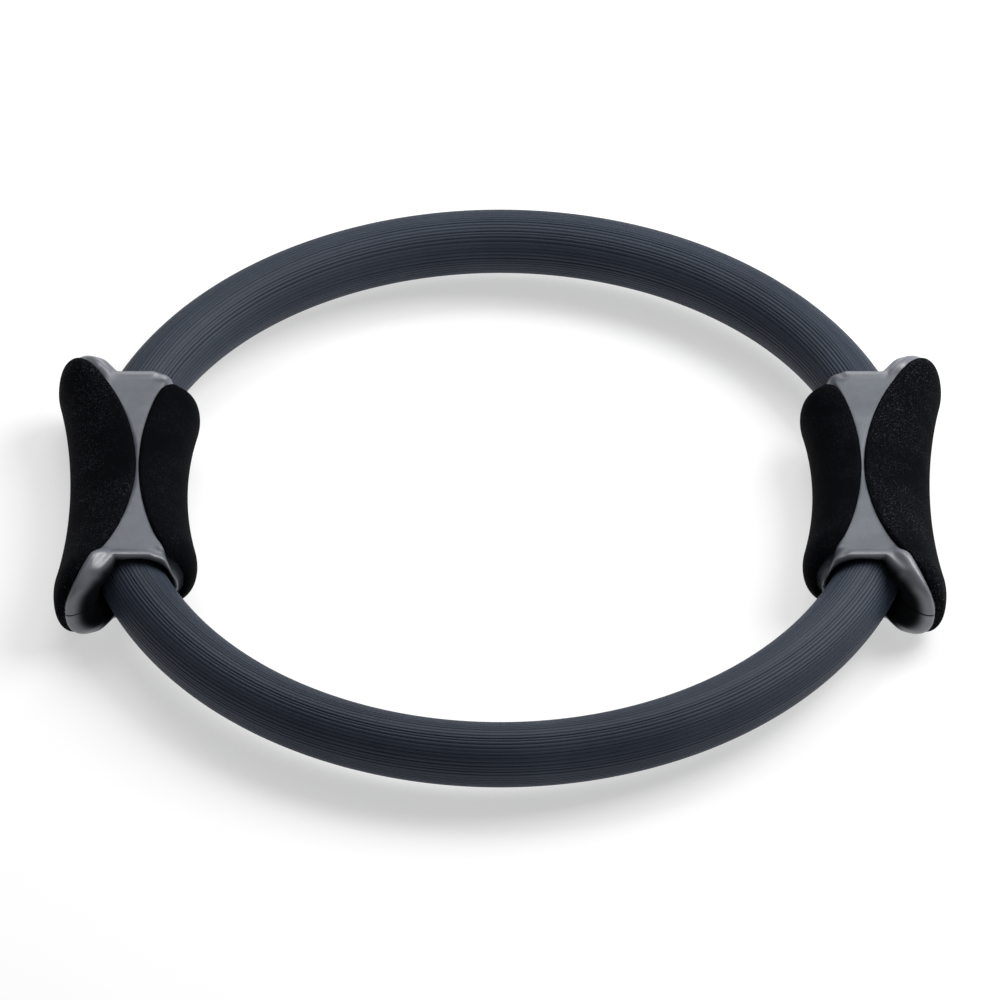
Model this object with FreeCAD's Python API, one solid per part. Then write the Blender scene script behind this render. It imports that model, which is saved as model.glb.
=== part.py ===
"""Pilates ring: two padded handles on a sprung hoop of two fibreglass strips in foam sleeves.

The ring lies flat. The origin is the centre of the ring, +X points to the right handle,
+Y to the back and +Z up. All sizes are in millimetres.
"""
import FreeCAD
import Part
import math
import os
from dataclasses import dataclass

Vector = FreeCAD.Vector
UP = Vector(0, 0, 1)
ORIGIN = Vector(0, 0, 0)

# Ring: the tube's centre line, the foam sleeve and the strip inside it
ring_radius = 166.0
sleeve_diameter = 27.6
knuckle_gap = 0.6
strip_height = 17.0
strip_thickness = 3.0
strip_clearance = 0.3
strip_lap = 22.0
strip_lap_gap = 0.1

# Rivets that hold the lapped strip ends together inside each handle
rivet_diameter = 4.0
rivet_head_diameter = 7.5
rivet_head_height = 1.4
rivet_clearance = 0.1
rivet_station = 12.0

# Handle core: a flat hourglass between the pads, with lobes under the pads
axis_inset = 2.0
flat_half_height = 17.5
lip_half_height = 21.0
foot_rise = 0.8
lip_width = 12.0
lip_start = 56.0
wall = 2.5
outer_core_half_length = 76.5
outer_core_corner = 19.5
inner_core_half_length = 62.0
inner_core_corner = 15.0

# Pads: edges on the flat face and crowned outer faces, both curved along the handle
pad_side_thickness = 5.0
pad_edge_thickness = 3.5
pad_floor_clearance = 1.0
outer_pad_half_length = 72.5
inner_pad_half_length = 59.5
pad_corner = 16.0
pad_edge_gap = 0.15
crown_shift = 1.5
end_spare = 0.5

# Mouths: where the sleeves leave the handle
mouth_station = 54.0
mouth_clearance = 1.1
mouth_flare = 14.0
mouth_flare_angle = 72.0
mouth_bead_radius = 19.2
mouth_bead_start = 2.0
mouth_bead_end = 9.5

# Ribs, bosses and screws inside the handle
rib_thickness = 2.4
rib_stations = (20.0, 38.0)
cavity_half_length = 43.0
outer_lobe_cavity_half_length = 66.0
screw_station = 30.0
screw_offset = 0.3
screw_diameter = 3.0
screw_head_diameter = 5.8
screw_head_height = 2.2
screw_length = 17.0
screw_head_clearance = 0.3
screw_shank_clearance = 0.3
screw_thread_clearance = 0.05
screw_seat_depth = 8.5
boss_wall = 2.2

# Worked out from the sizes above
sleeve_radius = sleeve_diameter / 2
mouth_radius = sleeve_radius + mouth_clearance
mouth_angle = math.asin(mouth_station / ring_radius)
mouth_x = ring_radius * math.cos(mouth_angle)
handle_axis_x = mouth_x - axis_inset
strip_offset = (strip_thickness + strip_lap_gap) / 2
front_strip_radius = ring_radius - strip_offset
back_strip_radius = ring_radius + strip_offset
reach = 2 * ring_radius


@dataclass
class Side:
    """One padded side of a handle, measured outwards from the handle's axis."""

    direction: int
    edge_start: float
    edge_radius: float
    face_start: float
    face_radius: float
    rise_radius: float
    pad_half_length: float
    core_half_length: float
    core_half_height: float
    core_corner: float

    def edge(self, station):
        """Distance from the handle's axis to the pad's edge on the flat face."""
        return self.edge_start + sagitta(self.edge_radius, station)

    def face(self, station):
        """Distance from the handle's axis to the pad's outermost line."""
        return self.face_start + sagitta(self.face_radius, station)

    def half_height(self, station):
        """Half the height of the padded side, which grows towards its ends."""
        return flat_half_height + sagitta(self.rise_radius, station)

    def x(self, distance):
        """Place of a distance from the axis, on the right handle."""
        return handle_axis_x + self.direction * distance


def sagitta(radius, half_chord):
    """Rise of an arc over half of its chord."""
    return radius - math.sqrt(radius ** 2 - half_chord ** 2)


OUTER = Side(
    direction=1,
    edge_start=1.0,
    edge_radius=112.0,
    face_start=28.8,
    face_radius=330.0,
    rise_radius=500.0,
    pad_half_length=outer_pad_half_length,
    core_half_length=outer_core_half_length,
    core_half_height=lip_half_height + foot_rise,
    core_corner=outer_core_corner,
)
INNER = Side(
    direction=-1,
    edge_start=1.0,
    edge_radius=137.0,
    face_start=21.5,
    face_radius=211.0,
    rise_radius=900.0,
    pad_half_length=inner_pad_half_length,
    core_half_length=inner_core_half_length,
    core_half_height=flat_half_height,
    core_corner=inner_core_corner,
)


def closed_face(edges):
    """A flat face inside a closed chain of edges."""
    return Part.Face(Part.Wire(edges))


def polygon(points):
    """A flat face inside straight lines through the points."""
    return Part.Face(Part.makePolygon(points + points[:1]))


def line(start, end):
    """A straight edge."""
    return Part.LineSegment(start, end).toShape()


def arc(start, middle, end):
    """A circular edge through three points."""
    return Part.Arc(start, middle, end).toShape()


def box(low, high):
    """A block between two corners."""
    size = high - low
    return Part.makeBox(size.x, size.y, size.z, low)


def upright(radius, half_height, centre):
    """A vertical cylinder, centred on the ring's middle plane."""
    return Part.makeCylinder(radius, 2 * half_height, centre - UP * half_height, UP)


def mirror_front(shape):
    """The same shape at the other end of the handle."""
    return shape.mirror(ORIGIN, Vector(0, 1, 0))


def mirror_left(shape):
    """The same shape on the left handle."""
    return shape.mirror(ORIGIN, Vector(1, 0, 0))


def side_section(side, station, crown_start, seat_shift, side_inset, edge_inset):
    """Section across one padded side: a straight seat and a crown of four arcs."""
    centre = side.edge(station) + crown_start
    half_width = side.face(station) - centre - side_inset
    half_height = side.half_height(station) - edge_inset

    def crown(turn):
        angle = math.radians(turn)
        return Vector(
            side.x(centre + half_width * math.cos(angle)),
            station,
            half_height * math.sin(angle),
        )

    top_seat = Vector(side.x(centre - seat_shift), station, half_height)
    low_seat = Vector(side.x(centre - seat_shift), station, -half_height)
    edges = [
        arc(crown(90), crown(67.5), crown(45)),
        arc(crown(45), crown(22.5), crown(0)),
        arc(crown(0), crown(-22.5), crown(-45)),
        arc(crown(-45), crown(-67.5), crown(-90)),
    ]
    if seat_shift > 0:
        edges.append(line(crown(-90), low_seat))
    edges.append(line(low_seat, top_seat))
    if seat_shift > 0:
        edges.append(line(top_seat, crown(90)))
    return Part.Wire(edges)


def side_block(side, half_length, crown_start, seat_shift, side_inset, edge_inset):
    """Loft along one padded side, just past both of its ends."""
    end = half_length + end_spare
    stations = [end * step / 4 for step in range(-4, 5)]
    sections = [
        side_section(side, station, crown_start, seat_shift, side_inset, edge_inset)
        for station in stations
    ]
    return Part.makeLoft(sections, True, False)


def core_lobe(side):
    """The core's lobe under one pad, before its ends are rounded."""
    return side_block(
        side, side.core_half_length, -crown_shift, 0, pad_side_thickness, pad_edge_thickness
    )


def end_outline(half_length, half_height, corner):
    """Prism of a long rounded outline, seen from the side of the handle."""
    radius = min(corner, half_height - wall / 2)
    low_x = handle_axis_x - ring_radius / 2
    flat_y = half_length - radius
    flat_z = half_height - radius
    diagonal = radius * math.sqrt(0.5)

    def corner_arc(sign_y, sign_z):
        along = Vector(low_x, sign_y * half_length, sign_z * flat_z)
        middle = Vector(low_x, sign_y * (flat_y + diagonal), sign_z * (flat_z + diagonal))
        over = Vector(low_x, sign_y * flat_y, sign_z * half_height)
        return along, middle, over

    back_top = corner_arc(1, 1)
    front_top = corner_arc(-1, 1)
    front_low = corner_arc(-1, -1)
    back_low = corner_arc(1, -1)
    edges = [
        arc(*back_top),
        line(back_top[2], front_top[2]),
        arc(front_top[2], front_top[1], front_top[0]),
        line(front_top[0], front_low[0]),
        arc(*front_low),
        line(front_low[2], back_low[2]),
        arc(back_low[2], back_low[1], back_low[0]),
        line(back_low[0], back_top[0]),
    ]
    return closed_face(edges).extrude(Vector(ring_radius, 0, 0))


def band(near_side, near_shift, far_side, far_shift, half_length, low, high):
    """Upright prism between two curves that follow pad edges."""

    def edge_point(side, station, shift):
        return Vector(side.x(side.edge(station) + shift), station, low)

    near = [edge_point(near_side, y, near_shift) for y in (-half_length, 0, half_length)]
    far = [edge_point(far_side, y, far_shift) for y in (half_length, 0, -half_length)]
    edges = [arc(*near), line(near[2], far[0]), arc(*far), line(far[2], near[0])]
    return closed_face(edges).extrude(UP * (high - low))


def middle_body():
    """Hourglass between the pads, with raised flat lips that the ring rests on."""
    length = outer_core_half_length + end_spare
    body = band(INNER, 0, OUTER, 0, length, -lip_half_height, lip_half_height)
    top = lip_half_height + end_spare
    flat = box(Vector(0, -lip_start, flat_half_height), Vector(reach, lip_start, top))
    beside = band(INNER, lip_width, OUTER, -lip_width, length, flat_half_height, top)
    recess = flat.fuse(beside)
    return body.cut([recess, recess.mirror(ORIGIN, UP)])


def at_mouth(shape):
    """Move a shape made along +X from the origin to the back mouth, along the tube."""
    placed = shape.copy()
    placed.rotate(ORIGIN, UP, 90 + math.degrees(mouth_angle))
    placed.translate(Vector(mouth_x, mouth_station, 0))
    return placed


def mouth_cut():
    """Trumpet-shaped opening round the tube, and the pocket for the sleeve's rounded end."""
    turn = math.radians(mouth_flare_angle)
    centre = Vector(0, mouth_radius + mouth_flare, 0)

    def flare(angle):
        return centre + Vector(math.sin(angle), -math.cos(angle), 0) * mouth_flare

    flare_end = flare(turn)
    beyond = flare_end + Vector(math.cos(turn), math.sin(turn), 0) * ring_radius
    profile = [
        line(Vector(0, 0, 0), flare(0)),
        arc(flare(0), flare(turn / 2), flare_end),
        line(flare_end, beyond),
        line(beyond, Vector(beyond.x, 0, 0)),
        line(Vector(beyond.x, 0, 0), Vector(0, 0, 0)),
    ]
    trumpet = closed_face(profile).revolve(ORIGIN, Vector(1, 0, 0), 360)
    pocket = upright(mouth_radius, mouth_radius, ORIGIN)
    return at_mouth(trumpet.fuse(pocket))


def mouth_bead():
    """Raised rim round the tube's opening."""
    length = mouth_bead_end - mouth_bead_start
    start = Vector(mouth_bead_start, 0, 0)
    return at_mouth(Part.makeCylinder(mouth_bead_radius, length, start, Vector(1, 0, 0)))


def core_body():
    """Solid handle core, before it is hollowed."""
    outline = end_outline(OUTER.core_half_length, OUTER.core_half_height, OUTER.core_corner)
    inner_outline = end_outline(INNER.core_half_length, INNER.core_half_height, INNER.core_corner)
    inner = core_lobe(INNER).common(inner_outline)
    bead = mouth_bead()
    whole = middle_body().fuse([core_lobe(OUTER), inner, bead, mirror_front(bead)])
    cut = mouth_cut()
    return whole.common(outline).cut([cut, mirror_front(cut)])


def strip_band(radius, thickness, height, start_degrees, sweep_degrees):
    """Flat strip bent to an arc about the ring's axis."""
    near = radius - thickness / 2
    far = radius + thickness / 2
    half = height / 2
    section = polygon(
        [Vector(near, 0, -half), Vector(far, 0, -half), Vector(far, 0, half), Vector(near, 0, half)]
    )
    section.rotate(ORIGIN, UP, start_degrees)
    return section.revolve(ORIGIN, UP, sweep_degrees)


def strip_channel():
    """Room for both lapped strips through the right handle."""
    thickness = 2 * (strip_thickness + strip_clearance) + strip_lap_gap
    half_turn = math.degrees(mouth_angle)
    height = strip_height + 2 * strip_clearance
    return strip_band(ring_radius, thickness, height, -half_turn, 2 * half_turn)


def screw_points():
    """Places of the two screws, on the handle's middle plane."""
    x = handle_axis_x + screw_offset
    return [Vector(x, -screw_station, 0), Vector(x, screw_station, 0)]


def hollow():
    """Space inside the handle core, left clear of ribs and screw bosses."""
    side_inset = pad_side_thickness + wall
    edge_inset = pad_edge_thickness + wall
    inside = flat_half_height - wall
    lobe_limit = end_outline(outer_lobe_cavity_half_length, inside, inside)
    lobes = side_block(
        OUTER, outer_lobe_cavity_half_length, -crown_shift, 0, side_inset, edge_inset
    )
    inner = side_block(
        INNER, cavity_half_length, -crown_shift, lip_width, side_inset, edge_inset + rib_thickness / 2
    )
    space = lobes.common(lobe_limit).fuse(inner)
    fillings = [
        upright(screw_head_diameter / 2 + boss_wall, flat_half_height, point)
        for point in screw_points()
    ]
    for station in rib_stations:
        for side in (-1, 1):
            middle = side * station
            fillings.append(
                box(
                    Vector(0, middle - rib_thickness / 2, -lip_half_height),
                    Vector(reach, middle + rib_thickness / 2, lip_half_height),
                )
            )
    return space.cut(fillings)


def screw_holes():
    """Head recess, clearance hole and pilot hole of each screw, from below."""
    head_radius = screw_head_diameter / 2 + screw_head_clearance
    shank_radius = screw_diameter / 2 + screw_shank_clearance
    thread_radius = screw_diameter / 2 + screw_thread_clearance
    seat = -flat_half_height + screw_seat_depth
    holes = []
    for point in screw_points():
        recess = Part.makeCylinder(head_radius, screw_seat_depth, point - UP * flat_half_height)
        shank = Part.makeCylinder(shank_radius, -seat, point + UP * seat)
        thread = Part.makeCylinder(thread_radius, screw_length + seat, point)
        holes.extend([recess, shank, thread])
    return holes


def shells():
    """Upper and lower half of the handle core, split on the ring's middle plane."""
    core = core_body().cut([hollow(), strip_channel()] + screw_holes())
    above = box(Vector(0, -reach, 0), Vector(reach, reach, reach))
    return core.common(above), core.cut(above)


def pad(side):
    """Foam pad: a crowned layer over the core's lobe, rounded at both ends."""
    whole = side_block(side, side.core_half_length, pad_edge_gap, 0, 0, 0)
    height = lip_half_height - pad_floor_clearance
    outline = end_outline(side.pad_half_length, height, pad_corner)
    cut = mouth_cut()
    return whole.common(outline).cut([core_lobe(side), cut, mirror_front(cut)])


def screws():
    """Two pan-head screws that hold the shells together."""
    seat = -flat_half_height + screw_seat_depth
    parts = []
    for point in screw_points():
        head_base = point + UP * (seat - screw_head_height)
        head = Part.makeCylinder(screw_head_diameter / 2, screw_head_height, head_base)
        shank = Part.makeCylinder(screw_diameter / 2, screw_length, point + UP * seat)
        parts.append(head.fuse(shank).removeSplitter())
    return Part.makeCompound(parts)


def rivet_axes():
    """Directions from the ring's centre to the rivets of the right handle."""
    turn = math.asin(rivet_station / ring_radius)
    return [Vector(math.cos(angle), math.sin(angle), 0) for angle in (-turn, turn)]


def rivets():
    """Two rivets through the lapped strip ends."""
    half_grip = strip_thickness + strip_lap_gap / 2 + rivet_clearance
    parts = []
    for direction in rivet_axes():
        near = direction * (ring_radius - half_grip - rivet_head_height)
        far = direction * (ring_radius + half_grip)
        length = 2 * (half_grip + rivet_head_height)
        shank = Part.makeCylinder(rivet_diameter / 2, length, near, direction)
        heads = [
            Part.makeCylinder(rivet_head_diameter / 2, rivet_head_height, base, direction)
            for base in (near, far)
        ]
        parts.append(shank.fuse(heads).removeSplitter())
    return Part.makeCompound(parts)


def strip(radius, start_degrees):
    """Fibreglass strip of half a ring, with rivet holes in both lapped ends."""
    lap = math.degrees(math.asin(strip_lap / ring_radius))
    bar = strip_band(radius, strip_thickness, strip_height, start_degrees - lap, 180 + 2 * lap)
    hole_radius = rivet_diameter / 2 + rivet_clearance
    holes = []
    for direction in rivet_axes():
        hole = Part.makeCylinder(hole_radius, reach, ORIGIN, direction)
        holes.extend([hole, mirror_left(hole)])
    return bar.cut(holes)


def sleeve_arc(strip_radius):
    """Foam tube with its strip slot, from the right mouth to past the back of the ring."""
    centre = Vector(ring_radius, 0, 0)
    rim = Part.Wire(Part.makeCircle(sleeve_radius, centre, Vector(0, 1, 0)))
    half_slot = strip_height / 2 + strip_clearance
    near = strip_radius - strip_thickness / 2 - strip_clearance
    far = strip_radius + strip_thickness / 2 + strip_clearance
    corners = [
        Vector(near, 0, -half_slot),
        Vector(far, 0, -half_slot),
        Vector(far, 0, half_slot),
        Vector(near, 0, half_slot),
    ]
    slot = Part.makePolygon(corners + corners[:1])
    section = Part.Face(rim).cut(Part.Face(slot))
    spare = math.degrees(math.asin(mouth_radius / ring_radius))
    start = math.degrees(mouth_angle) - spare
    section.rotate(ORIGIN, UP, start)
    return section.revolve(ORIGIN, UP, 90 + spare - start)


def sleeve(strip_radius, socket):
    """Back right quarter of the foam tube.

    Its handle end is rounded about the mouth's swing axis. At the back of the ring it
    ends in a knuckle about the swing axis there, or in the socket of such a knuckle.
    """
    tube = sleeve_arc(strip_radius)
    inside = Part.makeBox(reach, 2 * reach, reach, Vector(-reach, -reach, -reach / 2))
    mouth_end = at_mouth(inside.cut(upright(sleeve_radius, reach, ORIGIN)))
    middle = Vector(0, ring_radius, 0)
    past = box(Vector(-reach, 0, -reach), Vector(0, reach, reach))
    if socket:
        middle_end = past.fuse(upright(sleeve_radius + knuckle_gap, reach, middle))
    else:
        middle_end = past.cut(upright(sleeve_radius, reach, middle))
    return tube.cut([mouth_end, middle_end])


def build():
    """All nodes of the ring, by name."""
    upper, lower = shells()
    handle = {
        "upper_shell": upper,
        "lower_shell": lower,
        "outer_pad": pad(OUTER),
        "inner_pad": pad(INNER),
        "shell_screws": screws(),
        "strip_rivets": rivets(),
    }
    nodes = {}
    for name, shape in handle.items():
        nodes["right_" + name] = shape
        nodes["left_" + name] = mirror_left(shape)
    nodes["front_strip"] = strip(front_strip_radius, 180)
    nodes["back_strip"] = strip(back_strip_radius, 0)
    nodes["back_right_sleeve"] = sleeve(back_strip_radius, socket=True)
    nodes["back_left_sleeve"] = mirror_left(sleeve(back_strip_radius, socket=False))
    nodes["front_right_sleeve"] = mirror_front(sleeve(front_strip_radius, socket=True))
    nodes["front_left_sleeve"] = mirror_left(mirror_front(sleeve(front_strip_radius, socket=False)))
    return nodes


os.makedirs("parts", exist_ok=True)
for node, shape in build().items():
    print(node, len(shape.Solids), "solids", round(shape.Volume), "mm3", shape.isValid())
    shape.exportStep("parts/" + node + ".step")
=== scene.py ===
"""Looks of a pilates ring: padded handles on a sprung hoop in ribbed foam sleeves.

Shapes are surfaces worked out on grids of two parameters. Sizes are in millimetres in the
ring's frame, +X to the right handle, +Y to the back and +Z up, and meshes are in metres.
"""
import logging
import math
from dataclasses import dataclass
from enum import Enum
from typing import Any

import bmesh
import bpy
import numpy as np
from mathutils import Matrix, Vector


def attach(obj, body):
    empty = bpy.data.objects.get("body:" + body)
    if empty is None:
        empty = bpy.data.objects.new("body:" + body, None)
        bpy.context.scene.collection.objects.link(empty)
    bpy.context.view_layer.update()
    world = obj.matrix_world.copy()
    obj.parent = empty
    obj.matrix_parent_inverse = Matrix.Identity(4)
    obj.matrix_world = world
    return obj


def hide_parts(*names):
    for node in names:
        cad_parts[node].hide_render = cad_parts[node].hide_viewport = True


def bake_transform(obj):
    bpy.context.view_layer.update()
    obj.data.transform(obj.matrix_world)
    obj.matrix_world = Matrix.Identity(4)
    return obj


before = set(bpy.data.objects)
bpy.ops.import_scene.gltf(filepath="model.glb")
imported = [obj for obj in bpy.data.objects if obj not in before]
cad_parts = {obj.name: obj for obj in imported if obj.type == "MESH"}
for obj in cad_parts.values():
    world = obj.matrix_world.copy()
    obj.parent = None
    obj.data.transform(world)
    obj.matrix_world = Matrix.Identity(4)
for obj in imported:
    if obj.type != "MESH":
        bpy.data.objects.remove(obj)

LOG = logging.getLogger("pilates_ring")
METRES = 0.001
RIGHT_ANGLE = math.pi / 2
FULL_TURN = 2.0 * math.pi
QUAD = 4
TINY = 1e-9
WHITE = (1.0, 1.0, 1.0, 1.0)

Colour = tuple[float, float, float, float]
Triple = tuple[float, float, float]
Array = np.ndarray
Material = bpy.types.Material


class Hand(Enum):
    """Which handle a piece belongs to, with the sign of its X."""

    LEFT = -1
    RIGHT = 1


class Row(Enum):
    """Which half of the hoop a piece belongs to, with the sign of its Y."""

    FRONT = -1
    BACK = 1


class Half(Enum):
    """Which half of a handle's core a piece is, with the sign of its Z."""

    LOWER = -1
    UPPER = 1


# Shader expressions


class Sock:
    """A node's output; arithmetic on it adds Math nodes."""

    def __init__(self, surface: "Surface", socket: bpy.types.NodeSocket) -> None:
        """Keep the socket and the tree that it belongs to."""
        self.surface = surface
        self.socket = socket

    def _math(self, operation: str, first: Any, second: Any) -> "Sock":
        """Add one Math node."""
        values = {0: first, 1: second}
        return self.surface.node("ShaderNodeMath", {"operation": operation}, values)

    def __add__(self, other: Any) -> "Sock":
        """Sum."""
        return self._math("ADD", self, other)

    def __radd__(self, other: Any) -> "Sock":
        """Sum, with a number first."""
        return self._math("ADD", other, self)

    def __sub__(self, other: Any) -> "Sock":
        """Difference."""
        return self._math("SUBTRACT", self, other)

    def __rsub__(self, other: Any) -> "Sock":
        """Difference, from a number."""
        return self._math("SUBTRACT", other, self)

    def __mul__(self, other: Any) -> "Sock":
        """Product."""
        return self._math("MULTIPLY", self, other)

    def __rmul__(self, other: Any) -> "Sock":
        """Product, with a number first."""
        return self._math("MULTIPLY", other, self)


class Surface:
    """Node tree of one material."""

    def __init__(self, name: str) -> None:
        """Start an empty tree.

        Args:
            name: Name of the material.
        """
        self.material = bpy.data.materials.new(name)
        self.material.use_nodes = True
        self.tree = self.material.node_tree
        self.tree.nodes.clear()

    def node(
        self,
        kind: str,
        settings: dict[str, Any] | None = None,
        inputs: dict[Any, Any] | None = None,
        output: Any = 0,
    ) -> Sock:
        """Add a node.

        Args:
            kind: Type of the node.
            settings: Properties that are set first.
            inputs: Values or links of its sockets, by name or place.
            output: Name or place of the output that is wanted.

        Returns:
            The wanted output.
        """
        node = self.tree.nodes.new(kind)
        for key, value in (settings or {}).items():
            setattr(node, key, value)
        for key, value in (inputs or {}).items():
            if isinstance(value, Sock):
                self.tree.links.new(value.socket, node.inputs[key])
            else:
                node.inputs[key].default_value = value
        return Sock(self, node.outputs[output])

    def place(self) -> Sock:
        """Place on the piece, in metres."""
        return self.node("ShaderNodeTexCoord", output="Object")

    def own(self, name: str) -> Sock:
        """Value of the piece's own attribute."""
        return self.node("ShaderNodeAttribute", {"attribute_name": name}, output="Fac")

    def noise(
        self, scale: float, detail: float = 2.0, roughness: float = 0.5, at: Sock | None = None
    ) -> Sock:
        """Soft noise from 0 to 1 over the piece.

        Args:
            scale: Cells per metre.
            detail: Number of finer layers.
            roughness: Strength of the finer layers.
            at: Where it is read, if not at the place on the piece.

        Returns:
            The noise.
        """
        values = {"Scale": scale, "Detail": detail, "Roughness": roughness}
        values["Vector"] = at or self.place()
        return self.node("ShaderNodeTexNoise", inputs=values, output="Fac")

    def span(
        self, value: Sock, low: float, high: float, to_low: float = 0.0, to_high: float = 1.0
    ) -> Sock:
        """Carry a value from one span to another, held at its ends.

        Args:
            value: What is carried over.
            low: Start of the span it has.
            high: End of the span it has.
            to_low: Start of the span it gets.
            to_high: End of the span it gets.

        Returns:
            The value in its new span.
        """
        values = {0: value, 1: low, 2: high, 3: to_low, 4: to_high}
        return self.node("ShaderNodeMapRange", {"clamp": True}, values)

    def mix(self, share: Any, first: Any, second: Any) -> Sock:
        """Mix two colours, with a share of the second."""
        settings = {"data_type": "RGBA", "blend_type": "MIX"}
        return self.node("ShaderNodeMix", settings, {0: share, 6: first, 7: second}, output=2)

    def bump(self, height: Sock, strength: float, distance: float) -> Sock:
        """Normal of a surface with fine relief, whose full height is a distance in metres."""
        values = {"Height": height, "Strength": strength, "Distance": distance}
        return self.node("ShaderNodeBump", inputs=values)

    def shader(self, colour: Any, rough: Any, others: dict[str, Any]) -> Sock:
        """Principled shader with a colour, a roughness and values or links of other sockets."""
        values = {"Base Color": colour, "Roughness": rough, **others}
        return self.node("ShaderNodeBsdfPrincipled", inputs=values)

    def close(self, shader: Sock) -> Material:
        """Send a shader to the surface output.

        Args:
            shader: What the surface shows.

        Returns:
            The finished material.
        """
        output = self.tree.nodes.new("ShaderNodeOutputMaterial")
        self.tree.links.new(shader.socket, output.inputs["Surface"])
        return self.material


@dataclass(frozen=True)
class HandlePlastic:
    """Grey moulding: matt flat faces, satin rims and lips with a painted highlight, and painted
    shade, nearly black, inside the mouths.
    """

    name: str = "handle_plastic"
    grey: Colour = (0.056, 0.066, 0.084, 1.0)
    pale: Colour = (0.104, 0.117, 0.141, 1.0)
    # Painted highlight: this satin grey is paler than the flat faces, to brighten rims, lips and
    # bands.
    satin: Colour = (0.158, 0.168, 0.190, 1.0)
    # Painted shade: the two near-black colours used inside the mouths.
    painted_shade_dark: Colour = (0.0025, 0.003, 0.004, 1.0)
    painted_shade_pale: Colour = (0.005, 0.0055, 0.0065, 1.0)
    grain_scale: float = 2600.0
    cloud_scale: float = 75.0
    speck_share: float = 0.22
    rim_polish: float = 0.16

    def material(self) -> Material:
        """Clouded grey with a moulded grain, smoother on rims and paler there as a painted
        highlight, with painted shade turning the mouths black.

        Returns:
            The material.
        """
        surface = Surface(self.name)
        cloud = surface.noise(self.cloud_scale, detail=3.0, roughness=0.6)
        grain = surface.noise(self.grain_scale, detail=1.0)
        rim = surface.own("rim")
        body = surface.mix(surface.span(cloud, 0.35, 0.68), self.grey, self.pale)
        specks = surface.span(grain, 0.3, 0.7, to_high=self.speck_share)
        # Painted highlight: the rim share turns rims and lips to the paler satin grey.
        colour = surface.mix(rim, surface.mix(specks, body, self.grey), self.satin)
        rough = surface.span(cloud, 0.3, 0.7, 0.46, 0.56) - self.rim_polish * rim
        normal = surface.bump(grain, strength=0.18, distance=0.00012)
        shell = surface.shader(colour, rough, {"Specular IOR Level": 0.7, "Normal": normal})
        # Painted shade: deep in the mouths the shell gives way to a near-black matt shader.
        black = surface.mix(cloud, self.painted_shade_dark, self.painted_shade_pale)
        inside = surface.shader(black, 0.95, {"Specular IOR Level": 0.03, "Normal": normal})
        parts = {0: surface.own("mouth"), 1: shell, 2: inside}
        return surface.close(surface.node("ShaderNodeMixShader", inputs=parts))


@dataclass(frozen=True)
class PadFoam:
    """Black foam with a fine pebbled skin and light specks."""

    name: str = "pad_foam"
    black: Colour = (0.0007, 0.0010, 0.0018, 1.0)
    worn: Colour = (0.0014, 0.0018, 0.0029, 1.0)
    speck: Colour = (0.074, 0.080, 0.094, 1.0)
    pebble_scale: float = 1500.0
    speck_scale: float = 1500.0
    cloud_scale: float = 40.0

    def material(self) -> Material:
        """Black with faint clouding; specks are the peaks of a fine noise.

        Returns:
            The material.
        """
        surface = Surface(self.name)
        cloud = surface.noise(self.cloud_scale, detail=3.0, roughness=0.6)
        pebble = surface.noise(self.pebble_scale, roughness=0.6)
        fleck = surface.noise(self.speck_scale, detail=3.0, roughness=0.75)
        body = surface.mix(surface.span(cloud, 0.35, 0.7), self.black, self.worn)
        shown = surface.span(fleck, 0.55, 0.71) * surface.span(cloud, 0.36, 0.64, to_low=0.1)
        colour = surface.mix(shown, body, self.speck)
        rough = surface.span(pebble, 0.3, 0.7, 0.8, 0.96)
        normal = surface.bump(pebble, strength=0.55, distance=0.0003)
        others = {"Specular IOR Level": 0.04, "Normal": normal}
        return surface.close(surface.shader(colour, rough, others))


@dataclass(frozen=True)
class SleeveFoam:
    """Slate foam skin, with painted shade darkening the grooves between its ribs."""

    name: str = "sleeve_foam"
    slate: Colour = (0.020, 0.027, 0.042, 1.0)
    pale: Colour = (0.042, 0.053, 0.075, 1.0)
    # Painted shade: the colour that darkens the grooves.
    groove: Colour = (0.005, 0.007, 0.011, 1.0)
    grain_scale: float = 2200.0
    cloud_scale: float = 22.0
    tone_share: float = 0.5
    groove_painted_shade_share: float = 0.55
    groove_rough: float = 0.2

    def material(self) -> Material:
        """Slate with soft clouding, lighter on some ribs, with painted shade darkening the grooves
        between them.

        Returns:
            The material.
        """
        surface = Surface(self.name)
        cloud = surface.noise(self.cloud_scale, detail=4.0, roughness=0.6)
        grain = surface.noise(self.grain_scale, detail=1.0)
        groove = surface.own("groove")
        clouds = surface.span(cloud, 0.33, 0.7, to_high=1.0 - self.tone_share)
        light = clouds + self.tone_share * surface.own("tone")
        body = surface.mix(light, self.slate, self.pale)
        # Painted shade: the groove share darkens the colour in the grooves.
        colour = surface.mix(groove * self.groove_painted_shade_share, body, self.groove)
        rough = surface.span(grain, 0.3, 0.7, 0.40, 0.50) + self.groove_rough * groove
        normal = surface.bump(grain, strength=0.2, distance=0.00015)
        others = {"Specular IOR Level": 0.16, "Normal": normal}
        return surface.close(surface.shader(colour, rough, others))


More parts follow.
